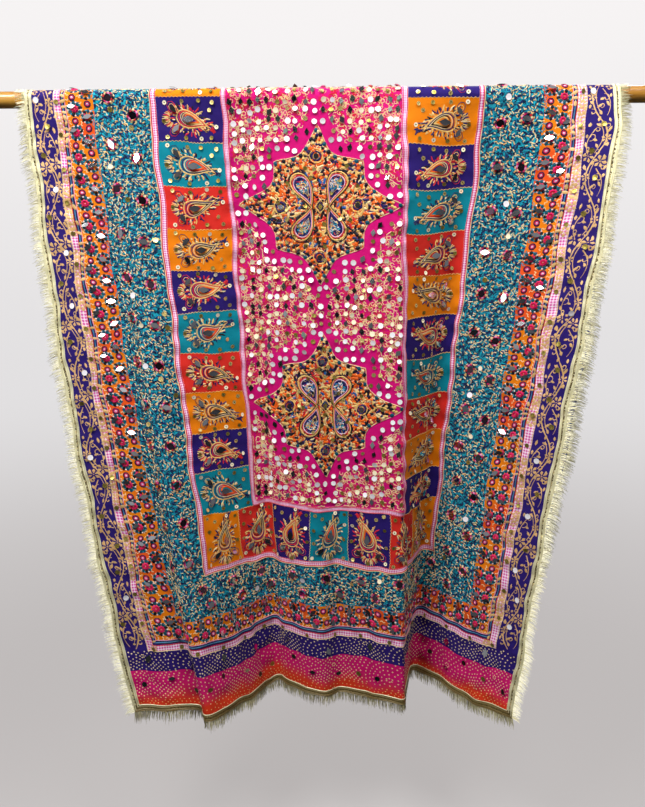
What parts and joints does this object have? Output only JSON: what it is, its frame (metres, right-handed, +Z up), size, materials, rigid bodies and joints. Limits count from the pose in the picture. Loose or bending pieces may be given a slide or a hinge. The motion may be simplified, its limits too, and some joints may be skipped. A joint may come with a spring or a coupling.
{
  "type": "dupatta hanging over a wooden rod",
  "caption": "Long patchwork shawl with borders, ribbons and fringe, folded in half over a round rod with both falls hanging free.",
  "frame": {"origin": "centre of the rod, midway along it", "axes": "+X along the rod to the viewer's right, +Z up, -Y towards the viewer, who sees the front fall"},
  "size_m": [1.3, 0.2884, 1.2551],
  "materials": {
    "rod_wood": "varnished pale wood with a satin surface",
    "magenta_cloth": "plain weave with gold stitching, sequins and mirrors",
    "patch_cloth": "plain weave patches in teal, navy, red and orange with stitched paisleys",
    "teal_cloth": "dense gold and navy running stitch over teal",
    "orange_cloth": "plain weave with stitched flowers and mirrors",
    "pink_ribbon": "checked ribbon with gold print",
    "navy_cloth": "plain weave with gold printed vine and dots",
    "red_cloth": "plain weave edge band",
    "gold_tape": "metallic woven tape",
    "fringe_thread": "pale gold thread fringe"
  },
  "bodies": {
    "root": {"rod": "rod_wood", "front_field": "magenta_cloth", "front_field_ribbon": "pink_ribbon", "front_patches_left": "patch_cloth", "front_patches_right": "patch_cloth", "front_patches_end": "patch_cloth", "front_inner_ribbon": "pink_ribbon", "front_teal_left": "teal_cloth", "front_teal_right": "teal_cloth", "front_teal_end": "teal_cloth", "front_orange_left": "orange_cloth", "front_orange_right": "orange_cloth", "front_orange_end": "orange_cloth", "front_pink_left": "pink_ribbon", "front_pink_right": "pink_ribbon", "front_pink_end": "pink_ribbon", "front_navy_left": "navy_cloth", "front_navy_right": "navy_cloth", "front_navy_end": "navy_cloth", "front_magenta_end": "magenta_cloth", "front_red_edge": "red_cloth", "front_tape": "gold_tape", "front_fringe_left": "fringe_thread", "front_fringe_right": "fringe_thread", "front_fringe_end": "fringe_thread", "back_field": "magenta_cloth", "back_field_ribbon": "pink_ribbon", "back_patches_left": "patch_cloth", "back_patches_right": "patch_cloth", "back_patches_end": "patch_cloth", "back_inner_ribbon": "pink_ribbon", "back_teal_left": "teal_cloth", "back_teal_right_over": "teal_cloth", "back_teal_right_upper": "teal_cloth", "back_teal_right_lower": "teal_cloth", "back_teal_end": "teal_cloth", "back_orange_left": "orange_cloth", "back_orange_right_over": "orange_cloth", "back_orange_right_upper": "orange_cloth", "back_orange_right_lower": "orange_cloth", "back_orange_end": "orange_cloth", "back_pink_left": "pink_ribbon", "back_pink_right_over": "pink_ribbon", "back_pink_right_upper": "pink_ribbon", "back_pink_right_lower": "pink_ribbon", "back_pink_end": "pink_ribbon", "back_navy_left": "navy_cloth", "back_navy_right_over": "navy_cloth", "back_navy_right_upper": "navy_cloth", "back_navy_right_lower": "navy_cloth", "back_navy_end": "navy_cloth", "back_magenta_end": "magenta_cloth", "back_red_edge": "red_cloth", "back_tape": "gold_tape", "back_fringe_left": "fringe_thread", "back_fringe_right": "fringe_thread", "back_fringe_end": "fringe_thread"}
  },
  "joints": []
}
